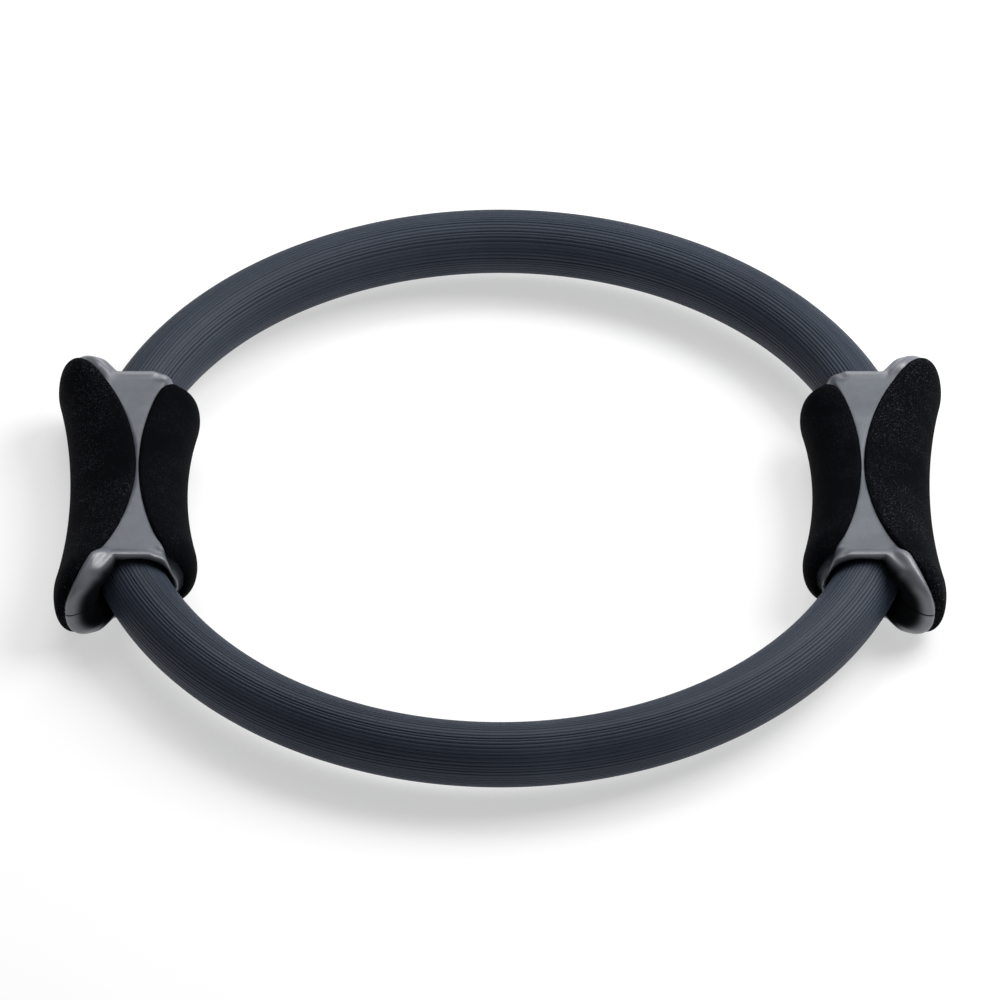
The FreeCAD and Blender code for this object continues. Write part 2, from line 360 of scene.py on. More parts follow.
@dataclass(frozen=True)
class Fibreglass:
    """Pale resin with glass strands along the strip."""

    name: str = "strip_fibreglass"
    resin: Colour = (0.42, 0.40, 0.29, 1.0)
    strand: Colour = (0.62, 0.61, 0.52, 1.0)
    strand_scale: float = 900.0
    stretch: Triple = (0.03, 0.03, 1.0)

    def material(self) -> Material:
        """Resin with streaks of a noise that is fine across the strip's height.

        Returns:
            The material.
        """
        surface = Surface(self.name)
        values = {"Vector": surface.place(), "Scale": self.stretch}
        along = surface.node("ShaderNodeMapping", inputs=values)
        strands = surface.noise(self.strand_scale, detail=3.0, at=along)
        colour = surface.mix(surface.span(strands, 0.35, 0.65), self.resin, self.strand)
        rough = surface.span(strands, 0.3, 0.7, 0.3, 0.5)
        normal = surface.bump(strands, strength=0.2, distance=0.0001)
        return surface.close(surface.shader(colour, rough, {"Normal": normal}))


@dataclass(frozen=True)
class FastenerMetal:
    """Bare metal with fine turning marks."""

    name: str
    metal: Colour
    shade: Colour
    rough_low: float
    rough_high: float
    mark_scale: float = 1800.0

    def material(self) -> Material:
        """Metal whose colour and polish vary with a fine noise.

        Returns:
            The material.
        """
        surface = Surface(self.name)
        marks = surface.noise(self.mark_scale, detail=3.0, roughness=0.6)
        colour = surface.mix(marks, self.metal, self.shade)
        rough = surface.span(marks, 0.3, 0.7, self.rough_low, self.rough_high)
        normal = surface.bump(marks, strength=0.1, distance=0.00005)
        return surface.close(surface.shader(colour, rough, {"Metallic": 1.0, "Normal": normal}))


@dataclass(frozen=True)
class FloorPaper:
    """White studio table, lit softly from below."""

    name: str = "floor_paper"
    white: Colour = (0.52, 0.52, 0.52, 1.0)
    shade: Colour = (0.505, 0.505, 0.505, 1.0)
    cloud_scale: float = 3.0
    glow: float = 0.53

    def material(self) -> Material:
        """White with the faintest clouding.

        Returns:
            The material.
        """
        surface = Surface(self.name)
        colour = surface.mix(surface.noise(self.cloud_scale), self.white, self.shade)
        others = {"Emission Color": WHITE, "Emission Strength": self.glow}
        others["Specular IOR Level"] = 0.1
        return surface.close(surface.shader(colour, 0.9, others))


# Grids and meshes


def sagitta(radius: float, half_chord: Array) -> Array:
    """Rise of an arc over half of its chord: radius less the root of radius^2 - chord^2."""
    return radius - np.sqrt(radius**2 - np.square(half_chord))


def smoothstep(value: Array) -> Array:
    """Smooth rise from 0 to 1 as the value goes from 0 to 1: 3 t^2 - 2 t^3."""
    share = np.clip(value, 0.0, 1.0)
    return share * share * (3.0 - 2.0 * share)


@dataclass(frozen=True)
class Ramp:
    """Smooth rise from 0 to 1 over a width from a start; with a negative width it falls."""

    start: float
    width: float

    def __call__(self, value: Array) -> Array:
        """Share of the rise at a value."""
        return smoothstep((value - self.start) / self.width)


def grid_faces(rows: int, columns: int, around: bool, flip: bool) -> Array:
    """Quads between neighbouring points of a grid.

    Args:
        rows: Number of rows.
        columns: Number of points in a row.
        around: Whether the last column joins the first.
        flip: Whether the faces point the other way.

    Returns:
        One row of four point numbers per face.
    """
    numbers = np.arange(rows * columns).reshape(rows, columns)
    beside = np.roll(numbers, -1, axis=1)
    if not around:
        numbers = numbers[:, :-1]
        beside = beside[:, :-1]
    corners = (numbers[:-1], beside[:-1], beside[1:], numbers[1:])
    faces = np.stack([corner.ravel() for corner in corners], axis=1)
    return faces[:, ::-1] if flip else faces


def tube_faces(rows: int, columns: int, flip: bool) -> list[Array]:
    """Faces of a closed tube: quads round it and a flat cap at each end.

    Args:
        rows: Number of rings.
        columns: Number of points in a ring.
        flip: Whether the faces point the other way.

    Returns:
        The quads, and the two caps.
    """
    ring = np.arange(columns)[None, :]
    caps = np.concatenate([ring[:, ::-1], ring + (rows - 1) * columns])
    return [grid_faces(rows, columns, True, flip), caps[:, ::-1] if flip else caps]


def make_piece(
    name: str,
    points: Array,
    faces: list[Array],
    material: Material,
    values: dict[str, Array] | None = None,
) -> bpy.types.Object:
    """Put a surface into a mesh and the scene.

    Args:
        name: Name of the piece.
        points: Places of the points in millimetres.
        faces: Blocks of faces, each with its own number of corners.
        material: Finish of the piece.
        values: Point attributes by name.

    Returns:
        The piece.
    """
    mesh = bpy.data.meshes.new(name)
    corners = [face for block in faces for face in block.tolist()]
    mesh.from_pydata((points.reshape(-1, 3) * METRES).tolist(), [], corners)
    smooth = np.concatenate([np.full(len(block), block.shape[1] <= QUAD) for block in faces])
    mesh.polygons.foreach_set("use_smooth", smooth)
    for key, value in (values or {}).items():
        attribute = mesh.attributes.new(key, "FLOAT", "POINT")
        attribute.data.foreach_set("value", np.ascontiguousarray(value, dtype=np.float32).ravel())
    mesh.materials.append(material)
    mesh.update()
    piece = bpy.data.objects.new(name, mesh)
    bpy.context.scene.collection.objects.link(piece)
    LOG.info("%s: %d points, %d faces", name, len(mesh.vertices), len(mesh.polygons))
    return piece


def run_length(points: Array, axis: int) -> Array:
    """Length gone from the first point along the lines of a grid.

    Args:
        points: Grid of points; the first three channels are a place.
        axis: Axis of the grid that the lines follow.

    Returns:
        The length at each point.
    """
    steps = np.linalg.norm(np.diff(points[..., :3], axis=axis), axis=2)
    start = np.zeros_like(steps.take([0], axis=axis))
    return np.concatenate([start, np.cumsum(steps, axis=axis)], axis=axis)


def neighbours(values: Array, after: Array) -> tuple[Array, Array]:
    """Values at the points just before and at the given ones on each line.

    Args:
        values: Lines by points, or lines by points by channels.
        after: Numbers of the points, for each line.

    Returns:
        The values before, and the values at the points.
    """
    wanted = after if values.ndim == after.ndim else after[..., None]
    before = np.take_along_axis(values, wanted - 1, axis=1)
    return before, np.take_along_axis(values, wanted, axis=1)


def resample(lines: Array, count: int) -> Array:
    """Points at even steps along each line.

    Args:
        lines: Lines by points by channels; the first three channels are a place.
        count: Number of points that each line gets.

    Returns:
        The lines with their channels read off at even steps of length.
    """
    length = run_length(lines, 1)
    wanted = length[:, -1:] * np.linspace(0.0, 1.0, count)[None, :]
    after = (length[:, None, :] <= wanted[:, :, None]).sum(axis=2)
    after = np.clip(after, 1, lines.shape[1] - 1)
    low, high = neighbours(length, after)
    share = np.clip((wanted - low) / np.maximum(high - low, TINY), 0.0, 1.0)[..., None]
    first, second = neighbours(lines, after)
    return first + (second - first) * share


def soften(lines: Array, width: float) -> Array:
    """Round the corners of lines with a bell-shaped running mean.

    Args:
        lines: Lines by points by channels.
        width: Width of the bell, in points.

    Returns:
        The softened lines, with their ends held.
    """
    reach = int(math.ceil(3 * width))
    weights = np.exp(-0.5 * np.square(np.arange(-reach, reach + 1) / width))
    weights = weights / weights.sum()
    ends = ((0, 0), (reach, reach), (0, 0))
    padded = np.pad(lines, ends, mode="reflect", reflect_type="odd")
    count = lines.shape[1]
    return sum(weight * padded[:, k : k + count] for k, weight in enumerate(weights))


# Handles


@dataclass(frozen=True)
class PaddedSide:
    """Sizes of one padded side of a handle, measured outwards from the handle's axis."""

    direction: int
    edge_start: float
    edge_radius: float
    face_start: float
    face_radius: float
    rise_radius: float
    pad_half_length: float
    taper_length: float
    width_left: float = 0.45
    height_left: float = 0.4

    def edge(self, station: Array) -> Array:
        """Distance from the axis to the pad's edge on the flat face."""
        return self.edge_start + sagitta(self.edge_radius, station)

    def face(self, station: Array) -> Array:
        """Distance from the axis to the pad's outermost line."""
        return self.face_start + sagitta(self.face_radius, station)

    def taper(self, station: Array, left: float) -> Array:
        """Share of the full size: 1, then a quarter ellipse down to what is left at the end.

        Args:
            station: Places along the handle.
            left: Share that is left at the pad's end.

        Returns:
            The share at each station.
        """
        start = self.pad_half_length - self.taper_length
        past = np.clip((np.abs(station) - start) / self.taper_length, 0.0, 1.0)
        return left + (1.0 - left) * np.sqrt(1.0 - np.square(past))


@dataclass
class HandleForm:
    """Sizes that the pieces of a handle share, on the right handle."""

    ring_radius: float = 166.0
    mouth_station: float = 54.0
    axis_inset: float = 2.0
    flat_height: float = 17.5
    lip_height: float = 21.0
    foot_rise: float = 0.8
    lip_width: float = 7.5
    band_width: float = 8.6
    lip_start: float = 55.2
    lip_ramp: float = 4.5
    core_half_length: float = 79.0
    core_corner: float = 21.3
    end_radius: float = 11.0
    end_start: float = 4.0
    end_cover: float = 5.2
    mouth_radius: float = 14.9
    mouth_flare: float = 14.0
    mouth_flare_angle: float = 72.0
    rim_station: float = 59.8
    rim_inner_station: float = 59.4
    rim_rise: float = 0.8
    collar_radius: float = 20.2
    pad_side: float = 5.0
    pad_edge: float = 3.5
    crown_shift: float = 1.5
    screw_shift: float = 0.3
    screw_station: float = 30.0
    recess_radius: float = 3.2
    recess_floor: float = -9.0
    outer: PaddedSide = PaddedSide(
        direction=1,
        edge_start=1.0,
        edge_radius=112.0,
        face_start=28.8,
        face_radius=330.0,
        rise_radius=500.0,
        pad_half_length=74.2,
        taper_length=14.0,
    )
    inner: PaddedSide = PaddedSide(
        direction=-1,
        edge_start=1.0,
        edge_radius=137.0,
        face_start=21.5,
        face_radius=211.0,
        rise_radius=900.0,
        pad_half_length=57.6,
        taper_length=16.0,
    )

    @property
    def mouth_angle(self) -> float:
        """Angle of the mouth round the ring, in radians."""
        return math.asin(self.mouth_station / self.ring_radius)

    @property
    def mouth_x(self) -> float:
        """Place of the mouth's swing axis."""
        return self.ring_radius * math.cos(self.mouth_angle)

    @property
    def axis_x(self) -> float:
        """Place of the handle's axis."""
        return self.mouth_x - self.axis_inset

    @property
    def core_flat(self) -> float:
        """Station where the core's rounded end starts."""
        return self.core_half_length - self.core_corner

    def from_outer_edge(self, x: Array, station: Array) -> Array:
        """Distance inwards from the outer pad's edge on the flat face."""
        return self.axis_x + self.outer.edge(station) - x

    def along_mouth(self, x: Array, y: Array) -> tuple[Array, Array]:
        """Distances along the mouth's axis and across it, in plan.

        Args:
            x: Places across the handle.
            y: Places along the handle.

        Returns:
            Distance along the axis, out of the handle, and distance across it, outwards.
        """
        sine, cosine = math.sin(self.mouth_angle), math.cos(self.mouth_angle)
        away_x = x - self.mouth_x
        away_y = y - self.mouth_station
        return -sine * away_x + cosine * away_y, cosine * away_x + sine * away_y

    def from_mouth(self, along: Array, across: Array) -> tuple[Array, Array]:
        """Places in plan at distances along the mouth's axis and across it.

        Args:
            along: Distance along the axis, out of the handle.
            across: Distance across it, outwards.

        Returns:
            Places across the handle, and places along it.
        """
        sine, cosine = math.sin(self.mouth_angle), math.cos(self.mouth_angle)
        x = self.mouth_x - sine * along + cosine * across
        y = self.mouth_station + cosine * along + sine * across
        return x, y


@dataclass
class HandleCore:
    """Moulded core of a handle, in two halves that meet on the ring's middle plane."""

    form: HandleForm
    line_count: int = 170
    flat_count: int = 140
    end_count: int = 160
    closing_count: int = 120
    face_count: int = 40
    bore_count: int = 120
    fine_count: int = 320
    coarse_end: int = 141
    coarse_step: int = 4
    fine_step: int = 2
    hollow_count: int = 25
    recess_count: int = 48
    cut_corners: int = 100
    halvings: int = 44
    far_radius: float = 60.0
    seam_angle: float = 0.3
    round_width: float = 3.6
    cross_width: float = 2.6
    cover: float = -0.3
    ramp: float = 2.0
    lip_fade: float = 4.6
    rim_lead: float = 4.2
    rim_ramp: float = 2.2
    end_limit: float = 0.95
    tuck_ramp: float = 5.0
    end_drop: float = 8.0
    flare_over: float = 0.5
    flare_cut: float = 0.28
    collar_along: Ramp = Ramp(47.0, 9.0)
    collar_round: Ramp = Ramp(92.0, 24.0)
    collar_spread: float = 40.0
    collar_blend: float = 1.5
    outer_turn: Ramp = Ramp(67.0, -5.0)
    inner_turn: Ramp = Ramp(130.0, 40.0)
    rim_search: float = 12.0
    mouth_depth: float = 9.0
    # Painted shade: the black inside a mouth rises over this length past the rim.
    shade: Ramp = Ramp(1.0, 2.6)
    # Painted highlight: the rim share fades out over this length back from the rim.
    rim_band: Ramp = Ramp(2.6, 1.4)
    lip_blend: float = 2.0
    hollow: float = 9.2
    hollow_mouth: float = 13.2
    hollow_widen: Ramp = Ramp(36.0, 8.0)
    cutter_spare: float = 4.0

    @property
    def angles(self) -> Array:
        """Angles of the lines round the middle line, from the outer seam to the inner one."""
        last = 180.0 - self.seam_angle
        return np.radians(np.linspace(self.seam_angle, last, self.line_count))

    @property
    def outer_side(self) -> Array:
        """Share of each line that counts as the outer side."""
        return self.outer_turn(np.degrees(self.angles))[:, None]

    def outline_height(self, station: Array) -> Array:
        """Height of the end's outline: level, then a quarter circle down.

        Args:
            station: Places along the handle.

        Returns:
            The height at each station.
        """
        form = self.form
        past = np.clip(station - form.core_flat, 0.0, form.core_corner)
        middle = form.lip_height + form.foot_rise - form.core_corner
        return middle + np.sqrt(form.core_corner**2 - np.square(past))

    def centre(self, station: Array) -> Array:
        """Middle line that the surface is swept round: the ring's arc, then the mouth's axis.

        Args:
            station: Places along the handle.

        Returns:
            The line's place across the handle.
        """
        form = self.form
        inside = np.minimum(station, form.mouth_station)
        arc = np.sqrt(form.ring_radius**2 - np.square(inside))
        return arc - (station - inside) * math.tan(form.mouth_angle)

    def bore(self, along: Array, turn: Array) -> Array:
        """Radius of the mouth: straight inside, then an arc's flare, then a cone.

        The flare is full on the outer side, half as wide over the tube and least on the inner.

        Args:
            along: Distance along the mouth's axis.
            turn: Angle round that axis from the outer side.

        Returns:
            The radius.
        """
        form = self.form
        slope = math.radians(form.mouth_flare_angle)
        flare_end = form.mouth_flare * math.sin(slope)
        flare = sagitta(form.mouth_flare, np.clip(along, 0.0, flare_end))
        cone = np.maximum(along - flare_end, 0.0) * math.tan(slope)
        cosine = np.cos(turn)
        outwards = (1.0 - self.flare_over) * np.square(np.maximum(cosine, 0.0))
        inwards = self.flare_cut * np.square(np.minimum(cosine, 0.0))
        return form.mouth_radius + (flare + cone) * (self.flare_over + outwards - inwards)

    def plate_height(self, x: Array, station: Array) -> Array:
        """Height of the flat face with its lip beside the outer pad and its rim over the tube.

        Args:
            x: Places across the handle.
            station: Places along the handle.

        Returns:
            The height at each place.
        """
        form = self.form
        past_lip = form.from_outer_edge(x, station) - form.lip_width + self.lip_fade
        beside = 1.0 - smoothstep(past_lip / self.lip_fade)
        lip = beside * smoothstep((station - form.lip_start) / form.lip_ramp)
        past_rim = station - form.rim_station + self.rim_lead
        rim = form.rim_rise * smoothstep(past_rim / self.rim_ramp)
        return form.flat_height + np.maximum((form.lip_height - form.flat_height) * lip, rim)

    def lobe_height(self, away: Array, station: Array, side: PaddedSide) -> Array:
        """Height of the lobe under a pad: a half ellipse across the handle, tapered like the pad.

        Args:
            away: Distance from the handle's axis towards the pad.
            station: Places along the handle.
            side: Sizes of the padded side.

        Returns:
            The height at each place.
        """
        form = self.form
        edge = side.edge(station)
        width = (side.face(station) - edge - form.pad_side) * side.taper(station, side.width_left)
        half_width = width + form.crown_shift
        full_height = form.flat_height + sagitta(side.rise_radius, station) - form.pad_edge
        half_height = full_height * side.taper(station, side.height_left)
        past = np.maximum(away - edge + form.crown_shift, 0.0) / half_width
        return half_height * np.sqrt(np.maximum(1.0 - np.square(past), 0.0))

    def height(self, x: Array, station: Array) -> Array:
        """Height of the core over the plan: the flat face, ramps under the pads, then the lobes.

        The end is rounded in plan, and tucked back under the outer pad.

        Args:
            x: Places across the handle.
            station: Places along the handle.

        Returns:
            The height at each place.
        """
        form = self.form
        away = x - form.axis_x
        outer_lobe = self.lobe_height(away, station, form.outer)
        inner_lobe = self.lobe_height(-away, station, form.inner)
        lobe = np.where(away > 0, outer_lobe, inner_lobe)
        past_outer = away - form.outer.edge(station) - self.cover
        past_inner = -away - form.inner.edge(station) - self.cover
        share = smoothstep(np.maximum(past_outer, past_inner) / self.ramp)
        whole = self.plate_height(x, station) * (1.0 - share) + lobe * share
        inwards = form.outer.edge(station) - away - form.end_start
        limit = self.end_limit * form.end_radius
        rounded = sagitta(form.end_radius, np.clip(inwards, 0.0, limit))
        tucked = form.end_cover * smoothstep(-inwards / self.tuck_ramp)
        past_end = np.maximum(station + tucked - form.core_half_length, 0.0)
        outline = self.outline_height(station + rounded + tucked)
        return np.minimum(whole, outline - self.end_drop * past_end)

    def envelope(self) -> Array:
        """Outer surface of the back half as lines from the middle of the handle to its end.

        Each line keeps one angle round the middle line. Its distance from there is where the
        height over the plan is met, found by halving. Near the mouth it shrinks to a round collar
        on the inner side, and past the last station it closes inwards.

        Returns:
            Lines by points by place.
        """
        form = self.form
        turns = np.linspace(0.0, RIGHT_ANGLE, self.end_count)[1:]
        level = np.linspace(0.0, form.core_flat, self.flat_count)
        stations = np.concatenate([level, form.core_flat + form.core_corner * np.sin(turns)])
        angle, station = np.meshgrid(self.angles, stations, indexing="ij")
        middle = self.centre(station)
        low = np.zeros_like(angle)
        high = np.full_like(angle, self.far_radius)
        for _ in range(self.halvings):
            trial = (low + high) / 2
            outside = trial * np.sin(angle) > self.height(middle + trial * np.cos(angle), station)
            high = np.where(outside, trial, high)
            low = np.where(outside, low, trial)
        before = 1.0 - self.collar_along(station)
        beside = 1.0 - self.collar_round(np.degrees(angle))
        collar = form.collar_radius + self.collar_spread * before + self.collar_spread * beside
        soft = self.collar_blend
        high = -soft * np.logaddexp(-high / soft, -collar / soft)
        closing = high[:, -1:] * np.linspace(1.0, 0.0, self.closing_count)[None, 1:]
        radius = np.concatenate([high, closing], axis=1)
        y = np.concatenate([station, np.broadcast_to(station[:, -1:], closing.shape)], axis=1)
        x = self.centre(y) + radius * np.cos(self.angles)[:, None]
        return np.stack([x, y, radius * np.sin(self.angles)[:, None]], axis=2)

    def rims(self, outer: Array) -> tuple[Array, Array]:
        """Where lines leave the outer surface.

        That is at a set station over the tube and on the inner side, a set width from the outer
        pad's edge on the outer side, or where a line meets the flare.

        Args:
            outer: Lines over the outer surface.

        Returns:
            Number of the first point past the rim, and place of the rim, for each line.
        """
        form = self.form
        x, y, z = outer[..., 0], outer[..., 1], outer[..., 2]
        along, across = form.along_mouth(x, y)
        inner_side = self.inner_turn(np.degrees(self.angles))
        limit = form.rim_station + (form.rim_inner_station - form.rim_station) * inner_side
        past_station = (y - limit[:, None]) * (1.0 - self.outer_side)
        past_band = (form.from_outer_edge(x, y) - form.band_width) * self.outer_side
        in_bore = self.bore(along, np.arctan2(z, across)) - np.hypot(across, z)
        past = np.maximum(past_station + past_band, in_bore)
        past = np.where(y > form.mouth_station - self.rim_search, past, -1.0)
        first = np.argmax(past > 0, axis=1)[:, None]
        before, after = neighbours(past, first)
        start, stop = neighbours(outer, first)
        return first, start + (stop - start) * (before / (before - after))[..., None]

    def mouth_lines(self, rim: Array) -> Array:
        """Lines from the rim straight in to the flare and along it into the mouth.

        Args:
            rim: Place of the rim on each line.

        Returns:
            Lines by points by place, share of painted shade in the mouth, and rim share of painted
            highlight.
        """
        along, across = self.form.along_mouth(rim[..., 0], rim[..., 1])
        turn = np.arctan2(rim[..., 2], across)
        radius = np.hypot(across, rim[..., 2])
        step = np.linspace(0.0, 1.0, self.face_count)[None, 1:]
        face = radius + (self.bore(along, turn) - radius) * step
        run = np.linspace(0.0, 1.0, self.bore_count)[None, 1:]
        depth = along * (1.0 - run) - self.mouth_depth * run
        bore = np.concatenate([face, self.bore(depth, turn)], axis=1)
        depth = np.concatenate([np.broadcast_to(along, face.shape), depth], axis=1)
        x, y = self.form.from_mouth(depth, bore * np.cos(turn))
        inner = np.stack([x, y, bore * np.sin(turn)], axis=2)
        gone = run_length(np.concatenate([rim, inner], axis=1), 1)[:, 1:]
        # Painted shade: darker with the length gone into the mouth.
        shade = self.shade(gone)
        return np.concatenate([inner, np.stack([shade, np.ones_like(shade)], axis=2)], axis=2)

    def half_lines(self) -> Array:
        """Lines from the middle of the handle over its surface and rim into the back mouth.

        Returns:
            Lines by points by place, share of painted shade in the mouth, and rim share of painted
            highlight.
        """
        outer = self.envelope()
        first, rim = self.rims(outer)
        kept = np.arange(outer.shape[1])[None, :] < first
        outer = np.where(kept[..., None], outer, rim)
        steps = np.linalg.norm(np.diff(outer, axis=1, append=rim), axis=2)
        to_rim = steps[:, ::-1].cumsum(axis=1)[:, ::-1]
        # Painted highlight: the rim share is full near the rim and on the outer lip, where the
        # colour turns paler.
        near = 1.0 - self.rim_band(to_rim)
        past_lip = smoothstep((outer[..., 1] - self.form.lip_start) / self.lip_blend)
        band = np.maximum(near, past_lip * (self.outer_side > 0))
        outer = np.concatenate([outer, np.stack([np.zeros_like(band), band], axis=2)], axis=2)
        return np.concatenate([outer, self.mouth_lines(rim)], axis=1)

    def hollow_lines(self) -> Array:
        """Wall of the hollow round the strips, from the back mouth to the front mouth.

        Its radius round the middle line is small in the middle and widens into the mouths.

        Returns:
            Lines by points by place, share of painted shade in the mouth, and rim share of painted
            highlight.
        """
        form = self.form
        end = form.mouth_station - self.mouth_depth * math.cos(form.mouth_angle)
        station = np.linspace(end, -end, self.hollow_count)[None, :]
        widen = self.hollow_widen(np.abs(station))
        radius = self.hollow + (self.hollow_mouth - self.hollow) * widen
        angles = self.angles[:, None]
        x = self.centre(np.abs(station)) + radius * np.cos(angles)
        y = np.broadcast_to(station, x.shape)
        # Painted shade: the whole hollow takes the near-black mouth colour.
        painted_shade_dark = np.ones_like(x)
        return np.stack([x, y, radius * np.sin(angles), painted_shade_dark, painted_shade_dark], axis=2)

    def surface(self) -> Array:
        """Closed lines round the upper half: over it between the mouths, back through the hollow.

        Returns:
            Lines by points by place, share of painted shade in the mouth, and rim share of painted
            highlight.
        """
        half = resample(self.half_lines(), self.fine_count)
        front = half[:, :0:-1] * np.array([1.0, -1.0, 1.0, 1.0, 1.0])
        whole = soften(np.concatenate([front, half], axis=1), self.round_width)
        below = whole[::-1] * np.array([1.0, 1.0, -1.0, 1.0, 1.0])
        doubled = np.concatenate([below, whole, below])
        across = soften(doubled.swapaxes(0, 1), self.cross_width).swapaxes(0, 1)
        whole = across[self.line_count : 2 * self.line_count]
        middle = self.fine_count - 1
        coarse = np.arange(0, self.coarse_end, self.coarse_step)
        fine = np.arange(self.coarse_end, self.fine_count, self.fine_step)
        steps = np.unique(np.concatenate([coarse, fine, [middle]]))
        picked = np.concatenate([middle - steps[:0:-1], middle + steps])
        return np.concatenate([whole[:, picked], self.hollow_lines()], axis=1)

    def build(self, hand: Hand, half: Half, surface: Array, finish: Material) -> None:
        """One half of a core as a closed piece; the lower one has recesses for its screws.

        Args:
            hand: Which handle.
            half: Which half.
            surface: Closed lines round the right handle's upper half.
            finish: Its material.
        """
        points = surface[..., :3] * np.array([hand.value, 1.0, half.value])
        faces = tube_faces(*surface.shape[:2], hand.value * half.value < 0)
        name = f"{hand.name.lower()}_{half.name.lower()}_core"
        shares = np.clip(surface[..., 3:], 0.0, 1.0)
        # mouth carries the painted shade in the mouths, rim the painted highlight on rims and
        # lips.
        values = {"mouth": shares[..., 0], "rim": shares[..., 1]}
        piece = make_piece(name, points, faces, finish, values)
        if half is Half.LOWER:
            self.cut_recesses(piece, hand)
        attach(piece, f"{hand.name.lower()}_handle")
        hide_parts(f"{hand.name.lower()}_{half.name.lower()}_shell")

    def cut_recesses(self, piece: bpy.types.Object, hand: Hand) -> None:
        """Cut the round recesses of the two screws into the lower half.

        Args:
            piece: The lower half.
            hand: Which handle it belongs to.
        """
        form = self.form
        count = self.recess_count
        turns = np.linspace(0.0, FULL_TURN, count + 1)[:-1]
        circle = np.stack([np.cos(turns), np.sin(turns)], axis=1) * form.recess_radius
        x = hand.value * (form.axis_x + form.screw_shift)
        levels = np.array([form.recess_floor, -form.lip_height - self.cutter_spare])
        heights = np.broadcast_to(levels[:, None, None], (2, count, 1))
        faces = tube_faces(2, count, True)
        for station in (-form.screw_station, form.screw_station):
            plan = np.broadcast_to(circle + np.array([x, station]), (2, count, 2))
            points = np.concatenate([plan, heights], axis=2)
            cutter = make_piece("recess_cutter", points, faces, piece.data.materials[0])
            cut = piece.modifiers.new("recess", "BOOLEAN")
            cut.operation = "DIFFERENCE"
            cut.solver = "EXACT"
            cut.object = cutter
            shaped = piece.evaluated_get(bpy.context.evaluated_depsgraph_get())
            mesh = bpy.data.meshes.new_from_object(shaped)
            piece.modifiers.clear()
            piece.data = mesh
            clean = bmesh.new()
            clean.from_mesh(mesh)
            cut_faces = [face for face in clean.faces if QUAD < len(face.verts) < self.cut_corners]
            bmesh.ops.triangulate(clean, faces=cut_faces, ngon_method="BEAUTY")
            clean.to_mesh(mesh)
            clean.free()
            bpy.data.objects.remove(cutter)


